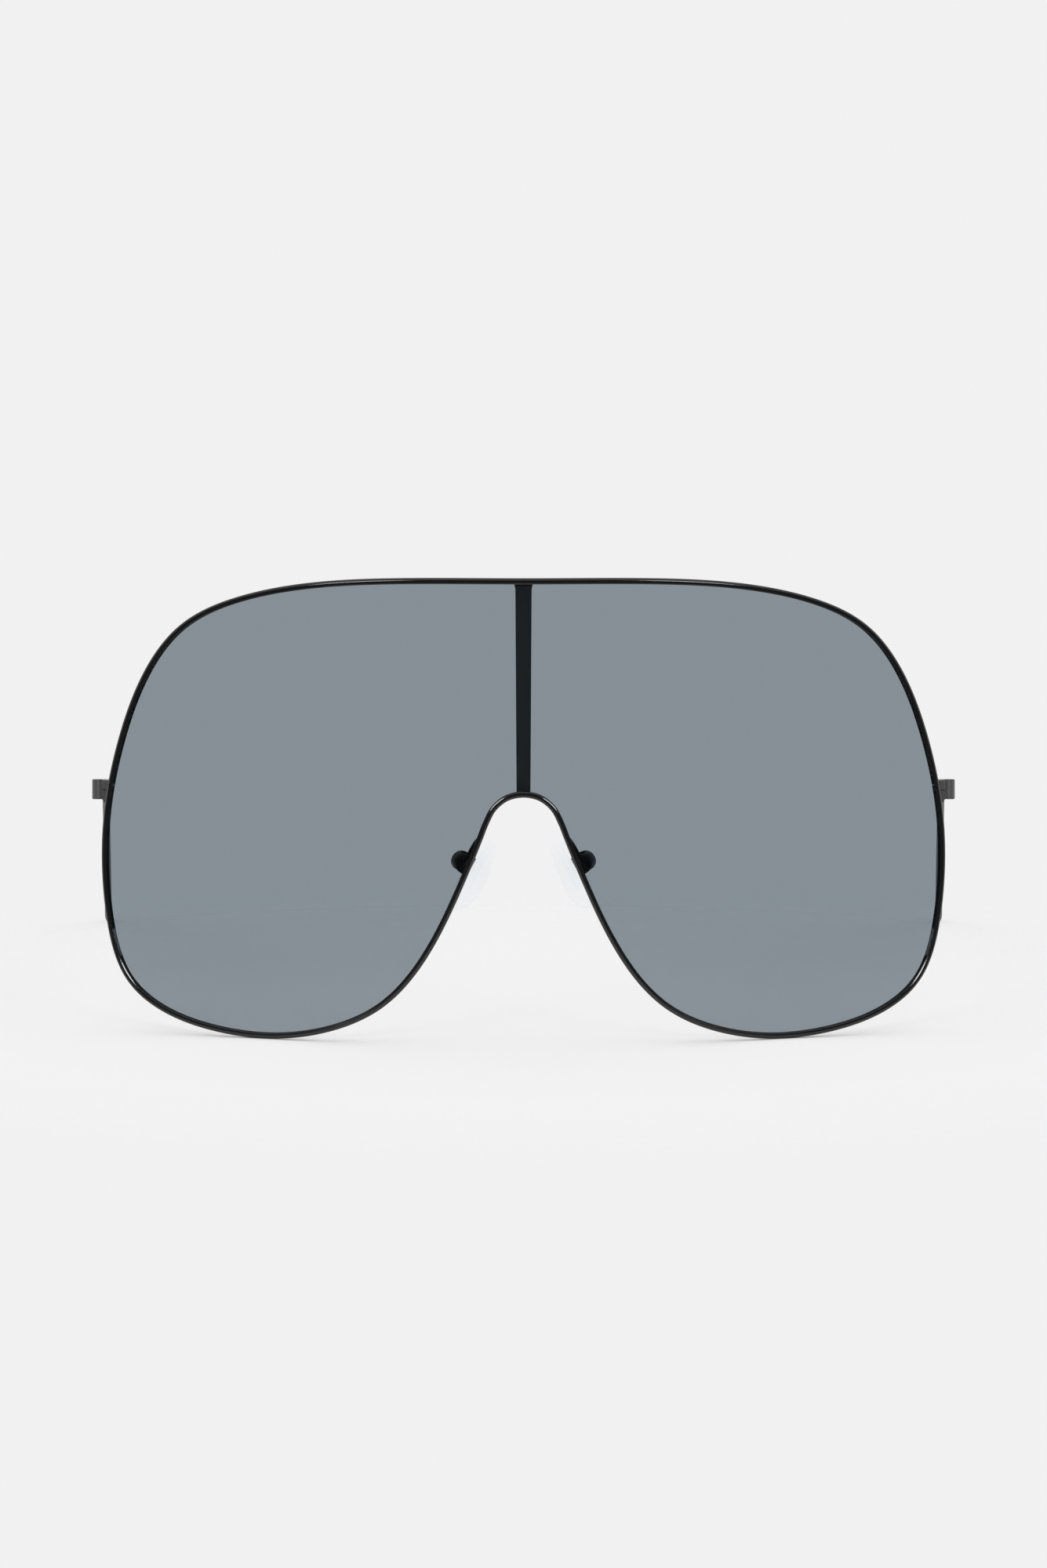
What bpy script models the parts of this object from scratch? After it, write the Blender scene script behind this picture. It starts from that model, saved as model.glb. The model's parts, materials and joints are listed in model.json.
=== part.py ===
# Sunglasses: one wrapped lens in a thin metal rim, with a centre bar, nose pads and folding temples.
# The front looks along -Y and the temples run back along +Y. The glasses stand on the rim and the tips.
# The front is drawn flat, with the way round its curve as X and its depth as Y, and then rolled.

import math

import bmesh
import bpy
import numpy as np
from mathutils import Matrix, Vector

# Front, measured over the rim's outer edge
front_width = 0.1469
front_height = 0.0806
wrap_radius = 0.140
rim_face = 0.00105
rim_depth = 0.0012
rim_outer_round = 0.00035
rim_inner_round = 0.0001
groove_depth = 0.00045
rim_runs = 168

# Nose opening, up to the underside of the arch
nose_arch_height = 0.04275
nose_half_width = 0.0107

# Lens
lens_thickness = 0.0009
lens_edge_clearance = 0.00007
lens_columns = 26

# Centre bar, behind the lens
bar_top_width = 0.0028
bar_low_width = 0.0024
bar_thickness = 0.0009
bar_foot_width = 0.0031
bar_foot_height = 0.0005
bar_overlap = 0.0008
bar_edge_round = 0.00015

# Seats and overruns
seat_gap = 0.0001
cut_overrun = 0.0010
fine_clearance = 0.00005

# End pieces and the blocks that close the rim
end_piece_height = 0.0415
end_piece_length = 0.00345
side_height = 0.0035
side_thickness = 0.0008
end_piece_foot_inset = 0.0013
end_piece_bend_radius = 0.0013
end_piece_run = 0.0053
bend_steps = 7
lock_block_width = 0.0016
lock_block_depth = 0.0021
lock_screw_radius = 0.00045
lock_head_radius = 0.00065
lock_head_height = 0.0003
lock_screw_inset = 0.0005

# Hinge
knuckle_radius = 0.0010
hinge_pin_radius = 0.00055
hinge_head_radius = 0.00085
hinge_head_height = 0.0003
leaf_thickness = 0.0005
leaf_length = 0.0042
hinge_height = 0.0027
knuckle_gap = 0.0001
round_steps = 16

# Temples
temple_slope_deg = 6.8
temple_splay_deg = 1.4
temple_length = 0.0970
ear_bend_radius = 0.0140
ear_bend_steps = 7
tip_flare_deg = 0.3
tip_reach = 0.0360
tip_height = 0.0036
tip_thickness = 0.0013
tip_start = 0.0020
tip_edge_round = 0.0003
core_height = 0.0020
core_end_gap = 0.0060
side_edge_round = 0.00015

# Nose pads: the screw's place from the rim's edge and the arch, and the rest from the screw
pad_screw_inset = 0.00145
pad_screw_back = 0.0073
pad_screw_drop = 0.0115
pad_lean_deg = 27.3
pad_splay_deg = 25.0
pad_length = 0.0138
pad_width = 0.0074
pad_thickness = 0.0024
pad_seat = 0.0022
pad_drop = 0.0019
pad_rings = 24
anchor_length = 0.0070
anchor_thickness = 0.0007
anchor_cover = 0.0005
tongue_width = 0.0016
tongue_thickness = 0.0014
tongue_round = 0.0008
anchor_clearance = 0.00006
box_front = 0.0013
box_back = 0.0017
box_upper_end = 0.0011
box_lower_end = 0.0024
box_width = 0.0030
box_corner_radius = 0.0017
box_slot_floor = 0.0009
box_edge_round = 0.0002
pad_screw_radius = 0.0004
pad_head_radius = 0.0007
pad_head_height = 0.0004

# Pad arms
arm_radius = 0.00045
arm_sides = 8
arm_root_rise = 0.0038
arm_root_inset = 0.0005
arm_rise = 0.0006
arm_steps = 12

# The rim's outer edge from the top centre to the nose, as shares of half the width and of the height
rim_outline_shares = (
    (0.000, 1.000), (0.260, 0.999), (0.498, 0.985), (0.682, 0.9465), (0.809, 0.884),
    (0.896, 0.780), (0.9575, 0.635), (0.9965, 0.453), (0.992, 0.254), (0.9455, 0.114),
    (0.8565, 0.0455), (0.728, 0.009), (0.587, 0.000), (0.453, 0.021), (0.330, 0.076),
    (0.2274, 0.183),
)
# The rest of it up to the arch, as shares of half the nose's width and of the arch's height
nose_outline_shares = ((1.000, 0.622), (0.616, 0.856), (0.370, 0.967), (0.000, 1.000))
# The pad's domed section: shares of its outline, and how far through its thickness each ring lies
pad_ring_shares = ((0.80, 0.00), (0.95, 0.16), (1.00, 0.42), (0.93, 0.70), (0.70, 0.91), (0.36, 1.00))
pad_taper_share = 0.16
# How far the arm's bends reach, as shares of the way back from the rim to the box
arm_first_share = 0.62
arm_last_share = 0.45
# How much a long run between outline points slows the curve
chord_power = 0.75


def clear_scene():
    for thing in list(bpy.data.objects):
        bpy.data.objects.remove(thing, do_unlink=True)


def material(name, color, roughness, metallic=0.0, alpha=1.0):
    made = bpy.data.materials.new(name)
    made.use_nodes = True
    shader = made.node_tree.nodes["Principled BSDF"]
    shader.inputs["Base Color"].default_value = (*color, 1.0)
    shader.inputs["Roughness"].default_value = roughness
    shader.inputs["Metallic"].default_value = metallic
    shader.inputs["Alpha"].default_value = alpha
    return made


def lacquer(name):
    return material(name, (0.018, 0.018, 0.020), 0.30, 0.2)


def dark_steel(name):
    return material(name, (0.05, 0.05, 0.055), 0.28, 0.9)


def black_sleeve(name):
    return material(name, (0.014, 0.014, 0.015), 0.45)


def smoke_lens(name):
    return material(name, (0.10, 0.12, 0.14), 0.03, 0.0, 0.72)


def clear_silicone(name):
    return material(name, (0.86, 0.88, 0.90), 0.12, 0.0, 0.35)


def hard_clear(name):
    return material(name, (0.80, 0.82, 0.84), 0.20, 0.0, 0.50)


def closed_spline(points, runs):
    """A smooth closed curve through the points, read at even steps along its length."""
    count = len(points)
    chord = np.linalg.norm(np.roll(points, -1, axis=0) - points, axis=1) ** chord_power
    system = np.zeros((count, count))
    pull = np.zeros_like(points)
    for i in range(count):
        before, after = chord[i - 1], chord[i]
        following = points[(i + 1) % count]
        system[i, i - 1] = before
        system[i, i] = 2 * (before + after)
        system[i, (i + 1) % count] = after
        pull[i] = 6 * ((following - points[i]) / after - (points[i] - points[i - 1]) / before)
    bend = np.linalg.solve(system, pull)
    fine = []
    for i in range(count):
        j = (i + 1) % count
        span = chord[i] ** 2 / 6
        for b in np.linspace(0, 1, 40, endpoint=False):
            a = 1 - b
            curve = (a**3 - a) * bend[i] + (b**3 - b) * bend[j]
            fine.append(a * points[i] + b * points[j] + span * curve)
    fine = np.array(fine + fine[:1])
    length = np.concatenate([[0], np.cumsum(np.linalg.norm(np.diff(fine, axis=0), axis=1))])
    steps = np.linspace(0, length[-1], runs, endpoint=False)
    return np.column_stack([np.interp(steps, length, fine[:, k]) for k in range(2)])


def unrolled(x, depth=0.0):
    """The way round the front's curve to a point that lies x from the middle."""
    return wrap_radius * math.asin(x / (wrap_radius + depth))


def rolled(around, depth, height):
    """Takes a flat point to its place on the front's curve. Depth counts forwards."""
    angle = around / wrap_radius
    reach = wrap_radius + depth
    return Vector((reach * math.sin(angle), wrap_radius - reach * math.cos(angle), height))


def rim_edge():
    """The rim's outer edge, drawn flat, clockwise from the top centre."""
    half = front_width / 2
    right = [(a * half, b * front_height) for a, b in rim_outline_shares]
    right += [(a * nose_half_width, b * nose_arch_height) for a, b in nose_outline_shares]
    left = [(-a, b) for a, b in right[-2:0:-1]]
    flat = [(unrolled(x, rim_depth / 2), height) for x, height in right + left]
    return closed_spline(np.array(flat), rim_runs)


def inward(edge):
    """Unit directions from the outer edge towards the lens."""
    ahead = np.roll(edge, -1, axis=0) - np.roll(edge, 1, axis=0)
    ahead /= np.linalg.norm(ahead, axis=1)[:, None]
    return np.column_stack([ahead[:, 1], -ahead[:, 0]])


def mesh_object(name, mesh_edit, surface, parent):
    mesh = bpy.data.meshes.new(name)
    mesh_edit.normal_update()
    mesh_edit.to_mesh(mesh)
    mesh_edit.free()
    mesh.materials.append(surface)
    mesh.shade_smooth()
    mesh.set_sharp_from_angle(angle=math.radians(35))
    thing = bpy.data.objects.new(name, mesh)
    bpy.context.scene.collection.objects.link(thing)
    thing.parent = parent
    return thing


def empty(name, place, parent=None):
    thing = bpy.data.objects.new(name, None)
    bpy.context.scene.collection.objects.link(thing)
    thing.parent = parent
    thing.matrix_parent_inverse = Matrix.Identity(4)
    thing.matrix_local = place
    return thing


def for_side(matrix, side):
    """A right-hand place, mirrored for the left."""
    flip = Matrix.Diagonal((side, 1, 1, 1))
    return flip @ matrix @ flip


def mirrored(mesh_edit, side):
    if side < 0:
        bmesh.ops.scale(mesh_edit, vec=(-1, 1, 1), verts=mesh_edit.verts)
        bmesh.ops.reverse_faces(mesh_edit, faces=mesh_edit.faces)
    return mesh_edit


def facing_out(shape):
    """Turns the faces of a closed shape outwards."""
    bmesh.ops.recalc_face_normals(shape, faces=shape.faces)
    if shape.calc_volume(signed=True) < 0:
        bmesh.ops.reverse_faces(shape, faces=shape.faces)
    return shape


def loft(rings):
    """Joins rings of points by quads, and caps the ends."""
    shape = bmesh.new()
    made = [[shape.verts.new(point) for point in ring] for ring in rings]
    for near, far in zip(made, made[1:]):
        for i in range(len(near)):
            j = (i + 1) % len(near)
            shape.faces.new((near[i], near[j], far[j], far[i]))
    shape.faces.new(made[0][::-1])
    shape.faces.new(made[-1])
    return facing_out(shape)


def prism(outline, low, high, axes=(0, 1, 2)):
    """A flat outline drawn in the first two axes, pushed along the third from low to high."""
    rings = []
    for level in (low, high):
        ring = []
        for a, b in outline:
            point = [0.0, 0.0, 0.0]
            point[axes[0]], point[axes[1]], point[axes[2]] = a, b, level
            ring.append(point)
        rings.append(ring)
    return loft(rings)


def rounded(mesh_edit, width, least_deg=40):
    """Rounds the sharp edges."""
    limit = math.radians(least_deg)
    sharp = [edge for edge in mesh_edit.edges if edge.calc_face_angle(0) > limit]
    bmesh.ops.bevel(
        mesh_edit, geom=sharp, offset=width, offset_type="OFFSET", segments=1,
        profile=0.5, affect="EDGES", clamp_overlap=True, material=-1,
    )
    return mesh_edit


def arc(center, radius, start_deg, end_deg, steps):
    angles = np.radians(np.linspace(start_deg, end_deg, steps + 1))
    return [(center[0] + radius * math.cos(t), center[1] + radius * math.sin(t)) for t in angles]


def full_circle(center, radius, steps=round_steps):
    return arc(center, radius, 0, 360, steps)[:-1]


def cut(thing, cutters):
    """Takes the cutters' shapes out of a piece."""
    for shape in cutters:
        mesh = bpy.data.meshes.new("cutter")
        shape.to_mesh(mesh)
        shape.free()
        tool = bpy.data.objects.new("cutter", mesh)
        bpy.context.scene.collection.objects.link(tool)
        tool.parent = thing.parent
        tool.matrix_parent_inverse = thing.matrix_parent_inverse
        tool.matrix_basis = thing.matrix_basis
        change = thing.modifiers.new("cut", "BOOLEAN")
        change.operation = "DIFFERENCE"
        change.object = tool
        bpy.context.view_layer.update()
        graph = bpy.context.evaluated_depsgraph_get()
        shaped = bpy.data.meshes.new_from_object(thing.evaluated_get(graph))
        thing.modifiers.clear()
        thing.data = shaped
        bpy.data.objects.remove(tool, do_unlink=True)
    return thing


def rim_section():
    """The wire's section: distance in from the outer edge, and depth forwards. It has a groove."""
    half = rim_depth / 2
    outer, inner = rim_outer_round, rim_inner_round
    return [
        (0.0, half - outer), (outer, half), (rim_face - inner, half), (rim_face, half - inner),
        (rim_face, groove_depth), (rim_face - groove_depth, 0.0), (rim_face, -groove_depth),
        (rim_face, inner - half), (rim_face - inner, -half), (outer, -half), (0.0, outer - half),
    ]


def rim_pieces(parent):
    """The rim wire, parted behind both end pieces."""
    edge = rim_edge()
    ways = inward(edge)
    height = (edge + ways * (rim_face / 2))[:, 1]
    level = end_piece_height
    count = len(edge)
    above = [i for i in range(count // 2 - count, count // 2) if height[i] > level + seat_gap]
    right_end = next(i for i in range(count) if i + 1 not in above)
    left_end = next(i for i in range(0, -count, -1) if i - 1 not in above)
    upper = list(range(left_end, right_end + 1))
    right_start = next(i for i in range(right_end, count) if height[i] < level - seat_gap)
    left_start = next(i for i in range(left_end, -count, -1) if height[i] < level - seat_gap)
    lower = list(range(right_start, left_start + count + 1))
    section = rim_section()

    def ring(point, way):
        return [rolled(point[0] + way[0] * b, n, point[1] + way[1] * b) for b, n in section]

    def wire(name, order, gap_side):
        stations = [(edge[i % count], ways[i % count]) for i in order]
        stops = []
        for inner, outer in ((order[0], order[0] - 1), (order[-1], order[-1] + 1)):
            inner, outer = inner % count, outer % count
            goal = level + gap_side * seat_gap / 2
            share = (goal - height[inner]) / (height[outer] - height[inner])
            point = edge[inner] + (edge[outer] - edge[inner]) * share
            way = ways[inner] + (ways[outer] - ways[inner]) * share
            stops.append((point, way / np.linalg.norm(way)))
        stations = [stops[0]] + stations + [stops[1]]
        mesh_object(name, loft([ring(*s) for s in stations]), lacquer(name), parent)

    wire("upper_rim", upper, 1)
    wire("lower_rim", lower, -1)


def shield_lens(parent):
    """One lens with a V edge that sits in the rim's groove."""
    edge = rim_edge()
    ways = inward(edge)
    brim = edge + ways * (rim_face + lens_edge_clearance)
    keel = edge + ways * (rim_face - groove_depth + lens_edge_clearance)
    half = lens_thickness / 2
    shape = bmesh.new()
    front = [shape.verts.new((x, half, z)) for x, z in brim]
    ridge = [shape.verts.new((x, 0, z)) for x, z in keel]
    back = [shape.verts.new((x, -half, z)) for x, z in brim]
    for near, far in ((front, ridge), (ridge, back)):
        for i in range(len(near)):
            j = (i + 1) % len(near)
            shape.faces.new((near[i], near[j], far[j], far[i]))
    shape.faces.new(front)
    shape.faces.new(back[::-1])
    reach = brim[:, 0].max()
    for step in range(1, lens_columns):
        place = reach * (2 * step / lens_columns - 1)
        sliced(shape, (place, 0, 0), (1, 0, 0))
    bmesh.ops.triangulate(shape, faces=[f for f in shape.faces if len(f.verts) > 4])
    for vert in shape.verts:
        vert.co = rolled(vert.co.x, vert.co.y, vert.co.z)
    mesh_object("shield_lens", facing_out(shape), smoke_lens("shield_lens"), parent)


def centre_bar(parent):
    """A flat bar that tapers downwards, with a wider foot at the top, fixed to the back of the rim."""
    top = front_height - rim_face + bar_overlap / 2
    low = nose_arch_height + rim_face - bar_overlap / 2
    foot = top - bar_overlap
    right = [
        (bar_low_width / 2, low), (bar_top_width / 2, foot - bar_foot_height),
        (bar_foot_width / 2, foot), (bar_foot_width / 2, top),
    ]
    outline = right + [(-x, z) for x, z in right[::-1]]
    front = rim_depth / 2 + seat_gap
    shape = rounded(prism(outline, front, front + bar_thickness, axes=(0, 2, 1)), bar_edge_round)
    mesh_object("centre_bar", shape, lacquer("centre_bar"), parent)


def crossing(stretch, height):
    """Where a stretch of the rim's outer edge passes a height, as a flat distance round the curve."""
    order = stretch[np.argsort(stretch[:, 1])]
    return float(np.interp(height, order[:, 1], order[:, 0]))


def side_crossing():
    edge = rim_edge()
    side = edge[edge[:, 0] > unrolled(front_width / 4)]
    return crossing(side, end_piece_height)


def nose_crossing(height):
    edge = rim_edge()
    near = (edge[:, 0] > 0) & (edge[:, 0] < unrolled(front_width / 4))
    beside = edge[near & (edge[:, 1] < nose_arch_height)]
    return crossing(beside, height)


def lug_frame():
    """Leans back with the temples. Its origin is on the end piece's front face, at its inner end."""
    edge_around = side_crossing()
    back = -(rim_depth / 2 + seat_gap)
    corner = rolled(edge_around, back, end_piece_height)
    inner = corner.x - end_piece_foot_inset + rim_face
    place = Matrix.Translation((inner, corner.y + lock_block_depth, end_piece_height))
    return place @ Matrix.Rotation(-math.radians(temple_slope_deg), 4, "X")


def bend_center():
    """The centre of the end piece's bend, in the lug frame's plan."""
    return (end_piece_length - end_piece_bend_radius, end_piece_bend_radius)


def hinge_frame():
    """At the hinge axis: X outwards, Y back along the temple, Z up the pin."""
    center = bend_center()
    turn = math.radians(temple_splay_deg)
    out = Vector((math.cos(turn), -math.sin(turn), 0))
    back = Vector((math.sin(turn), math.cos(turn), 0))
    inset = side_thickness + fine_clearance * 2 + knuckle_radius
    axis = Vector((*center, 0)) + out * (end_piece_bend_radius - inset) + back * end_piece_run
    return lug_frame() @ Matrix.Translation(axis) @ Matrix.Rotation(-turn, 4, "Z")


def strip_inner():
    """How far out from the hinge axis the strips' inner faces lie."""
    return knuckle_radius + fine_clearance * 2


def end_piece(name, side, parent):
    """A flat strip that starts behind the rim, turns back and stops at the hinge."""
    center = bend_center()
    last = 90 - temple_splay_deg
    inner_radius = end_piece_bend_radius - side_thickness
    outer = [(0.0, 0.0)] + arc(center, end_piece_bend_radius, -90, last - 90, bend_steps)
    inner = [(0.0, side_thickness)] + arc(center, inner_radius, -90, last - 90, bend_steps)
    turn = math.radians(temple_splay_deg)
    run = end_piece_run - seat_gap / 2
    back = (math.sin(turn) * run, math.cos(turn) * run)
    outer.append((outer[-1][0] + back[0], outer[-1][1] + back[1]))
    inner.append((inner[-1][0] + back[0], inner[-1][1] + back[1]))
    shape = prism(outer + inner[::-1], -side_height / 2, side_height / 2)
    rounded(shape, side_edge_round, 60)
    thing = mesh_object(name, mirrored(shape, side), lacquer(name), parent)
    thing.matrix_local = for_side(lug_frame(), side)


def lock_footprint():
    """The block's plan: its front follows the rim's back face, its sides run straight back."""
    around = side_crossing()
    back = -(rim_depth / 2 + seat_gap)
    corner = rolled(around, back, 0)
    other = rolled(around - rim_face, back, 0)
    slope = (corner.y - other.y) / (corner.x - other.x)
    inner = lug_frame().translation.x
    outer = inner + lock_block_width
    return inner, outer, corner.y + (inner - corner.x) * slope, corner.y + (outer - corner.x) * slope


def lock_screw_place():
    inner, outer, near, far = lock_footprint()
    lug = lug_frame().translation
    return Vector(((inner + outer) / 2, (max(near, far) + lug.y - seat_gap) / 2, end_piece_height))


def lock_block(name, side, parent, step):
    """Half of the block that closes the rim: step is 1 above the split and -1 below it."""
    inner, outer, near, far = lock_footprint()
    low = end_piece_height + step * seat_gap / 2
    high = end_piece_height + step * side_height / 2
    lug = lug_frame()
    tilt = math.tan(math.radians(temple_slope_deg))

    def ring(level):
        behind = lug.translation.y - seat_gap + (level - end_piece_height) * tilt
        return [(inner, near, level), (outer, far, level), (outer, behind, level), (inner, behind, level)]

    shape = loft([ring(low), ring(high)])
    thing = mesh_object(name, mirrored(shape, side), lacquer(name), parent)
    place = lock_screw_place()
    bore = full_circle((place.x, place.y), lock_screw_radius + fine_clearance)
    if step > 0:
        ends = (low - cut_overrun, high - lock_screw_inset)
    else:
        ends = (high - cut_overrun, low + cut_overrun)
    cut(thing, [mirrored(prism(bore, *ends), side)])


def lock_screw(name, side, parent):
    """An upright screw with its head below the lower block."""
    place = lock_screw_place()
    under = -side_height / 2 - seat_gap
    top = side_height / 2 - lock_screw_inset - seat_gap
    shape = stepped_pin(
        [(lock_head_radius, under - lock_head_height), (lock_head_radius, under),
         (lock_screw_radius, under), (lock_screw_radius, top)]
    )
    thing = mesh_object(name, mirrored(shape, side), dark_steel(name), parent)
    thing.matrix_local = for_side(Matrix.Translation(place), side)


def stepped_pin(profile):
    """A turned pin on Z from pairs of radius and height."""
    return loft([[(x, y, level) for x, y in full_circle((0, 0), radius)] for radius, level in profile])


def leaf_outline(way):
    """A leaf with its knuckle, in the hinge frame's plan: way is 1 for the temple's, -1 for the front's."""
    outer = knuckle_radius
    inner = outer - leaf_thickness
    start = math.degrees(math.asin(inner / knuckle_radius))
    knuckle = arc((0, 0), knuckle_radius, 90 - start, 360, round_steps)
    points = [(outer, leaf_length), (inner, leaf_length)] + knuckle
    return [(x, way * y) for x, y in points]


def leaf(name, side, parent, way):
    """A hinge leaf with its knuckles cut to pass between the other leaf's."""
    shape = prism(leaf_outline(way), -hinge_height / 2, hinge_height / 2)
    thing = mesh_object(name, mirrored(shape, side), lacquer(name), parent)
    knuckle = (hinge_height - 2 * knuckle_gap) / 3
    reach = knuckle_radius + fine_clearance * 2
    far = reach + cut_overrun
    room = [(-far, -way * far), (far, -way * far), (far, way * reach), (-far, way * reach)]
    if way < 0:
        spans = [(-knuckle / 2 - knuckle_gap, knuckle / 2 + knuckle_gap)]
    else:
        top = hinge_height / 2 + cut_overrun
        spans = [(knuckle / 2, top), (-top, -knuckle / 2)]
    cutters = [mirrored(prism(room, *span), side) for span in spans]
    bore = full_circle((0, 0), hinge_pin_radius + fine_clearance)
    cutters.append(mirrored(prism(bore, -hinge_height, hinge_height), side))
    return cut(thing, cutters)


def hinge_screw(name, side, parent):
    seat = hinge_height / 2 + fine_clearance
    shape = stepped_pin(
        [(hinge_pin_radius, -hinge_height / 2), (hinge_pin_radius, seat), (hinge_head_radius, seat),
         (hinge_head_radius, seat + hinge_head_height)]
    )
    return mesh_object(name, mirrored(shape, side), dark_steel(name), parent)


def tip_path():
    """The temple's middle line in the hinge frame's Y and Z, from the ear bend to the end."""
    slope = math.radians(temple_slope_deg)
    drop = hinge_frame().translation.z - temple_length * math.sin(slope)
    drop -= ear_bend_radius * math.cos(slope) + tip_height / 2
    reach = math.hypot(tip_reach, ear_bend_radius)
    turn = math.asin(drop / reach) + math.atan2(ear_bend_radius, tip_reach) - slope
    path = []
    for step in range(ear_bend_steps + 1):
        angle = turn * step / ear_bend_steps
        path.append((
            temple_length + ear_bend_radius * math.sin(angle),
            ear_bend_radius * (math.cos(angle) - 1),
            angle,
        ))
    y, z, angle = path[-1]
    path.append((y + tip_reach * math.cos(angle), z - tip_reach * math.sin(angle), angle))
    return path


def along(path, start, back_off=0.0):
    """The path from a straight start on, stopping short of its end."""
    first = [(start, 0.0, 0.0)]
    y, z, angle = path[-1]
    last = (y - back_off * math.cos(angle), z + back_off * math.sin(angle), angle)
    return first + path[:-1] + [last]


def banded(path, half):
    """The two sides of a band about a path, with a round end."""
    upper = [(y + half * math.sin(a), z + half * math.cos(a)) for y, z, a in path]
    lower = [(y - half * math.sin(a), z - half * math.cos(a)) for y, z, a in path]
    y, z, angle = path[-1]
    turn = 90 - math.degrees(angle)
    nose = arc((y, z), half, turn, turn - 180, 8)[1:-1]
    return upper + nose + lower[::-1]


def sliced(shape, place, way):
    """Adds an edge all round where a plane crosses the shape."""
    everything = shape.verts[:] + shape.edges[:] + shape.faces[:]
    bmesh.ops.bisect_plane(shape, geom=everything, plane_co=place, plane_no=way, dist=fine_clearance / 10)


def flared(shape):
    """Leans what lies past the ear bend a little outwards."""
    sliced(shape, (0, temple_length, 0), (0, 1, 0))
    lean = math.tan(math.radians(tip_flare_deg))
    for vert in shape.verts:
        vert.co.x += lean * max(vert.co.y - temple_length, 0.0)
    return shape


def temple(name, side, parent):
    """A flat metal strip, with the narrower core of the tip stamped in one piece with it."""
    path = along(tip_path(), temple_length - tip_start, core_end_gap)
    core = banded(path, core_height / 2)
    half = side_height / 2
    end = temple_length - tip_start - seat_gap
    strip = [(end, -half), (seat_gap / 2, -half), (seat_gap / 2, half), (end, half)]
    inner = strip_inner()
    outline = strip[2:] + [(end, core_height / 2)] + core[1:-1] + [(end, -core_height / 2)] + strip[:2]
    shape = prism(outline, inner, inner + side_thickness, axes=(1, 2, 0))
    return mesh_object(name, mirrored(flared(shape), side), lacquer(name), parent)


def temple_tip(name, side, parent):
    """A slim sleeve over the core, with a round end."""
    middle = strip_inner() + side_thickness / 2
    half = tip_thickness / 2
    path = along(tip_path(), temple_length - tip_start)
    shape = prism(banded(path, tip_height / 2), middle - half, middle + half, axes=(1, 2, 0))
    rounded(shape, tip_edge_round, 60)
    thing = mesh_object(name, mirrored(flared(shape), side), black_sleeve(name), parent)
    path = along(tip_path(), temple_length - tip_start - cut_overrun, core_end_gap - fine_clearance)
    outline = banded(path, core_height / 2 + fine_clearance)
    half = side_thickness / 2 + fine_clearance
    pocket = prism(outline, middle - half, middle + half, axes=(1, 2, 0))
    return cut(thing, [mirrored(flared(pocket), side)])


def pad_frame():
    """At the pad's screw: X up the pad's length, Y back along the screw, Z towards the nose."""
    lean = math.radians(pad_lean_deg)
    splay = math.radians(pad_splay_deg)
    length = Vector((-math.sin(lean), 0, math.cos(lean)))
    flat = Vector((-math.cos(lean), 0, -math.sin(lean)))
    back = Vector((0, 1, 0))
    facing = flat * math.cos(splay) + back * math.sin(splay)
    width = back * math.cos(splay) - flat * math.sin(splay)
    turn = Matrix((length, width, facing)).transposed().to_4x4()
    height = nose_arch_height - pad_screw_drop
    across = rolled(nose_crossing(height), 0, height).x + pad_screw_inset
    return Matrix.Translation((across, pad_screw_back, height)) @ turn


def pad_outline(scale):
    """The pad's outline: an oval that is fuller at its lower end."""
    points = []
    for x, y in full_circle((0, 0), 1.0, pad_rings):
        fullness = 1 - pad_taper_share * x
        points.append((x * pad_length / 2 * scale - pad_drop, y * pad_width / 2 * scale * fullness))
    return points


def anchor_outline(grow=0.0):
    """The anchor and its tongue in X and Z: a bar inside the pad and a round-ended tongue."""
    low = pad_seat + anchor_cover - grow
    high = low + anchor_thickness + 2 * grow
    upper_end = anchor_length / 2 + grow - pad_drop / 2
    lower_end = -anchor_length / 2 - grow - pad_drop / 2
    neck = tongue_width / 2 + grow
    bar = [(neck, low), (upper_end, low), (upper_end, high)]
    bar += [(lower_end, high), (lower_end, low), (-neck, low)]
    return bar + arc((0, 0), tongue_round + grow, 180, 360, 8)


def nose_pad(name, side, parent):
    """A soft pad with a domed face, moulded round its anchor."""
    rings = []
    for width, level in pad_ring_shares:
        rings.append([(x, y, pad_seat + pad_thickness * level) for x, y in pad_outline(width)])
    thing = mesh_object(name, mirrored(loft(rings), side), clear_silicone(name), parent)
    half = tongue_thickness / 2 + anchor_clearance
    room = prism(anchor_outline(anchor_clearance), -half, half, axes=(0, 2, 1))
    return cut(thing, [mirrored(room, side)])


def pad_core(name, side, parent):
    shape = prism(anchor_outline(), -tongue_thickness / 2, tongue_thickness / 2, axes=(0, 2, 1))
    thing = mesh_object(name, mirrored(shape, side), hard_clear(name), parent)
    bore = full_circle((0, 0), pad_screw_radius + fine_clearance)
    return cut(thing, [mirrored(prism(bore, -tongue_thickness, tongue_thickness, axes=(0, 2, 1)), side)])


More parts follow.
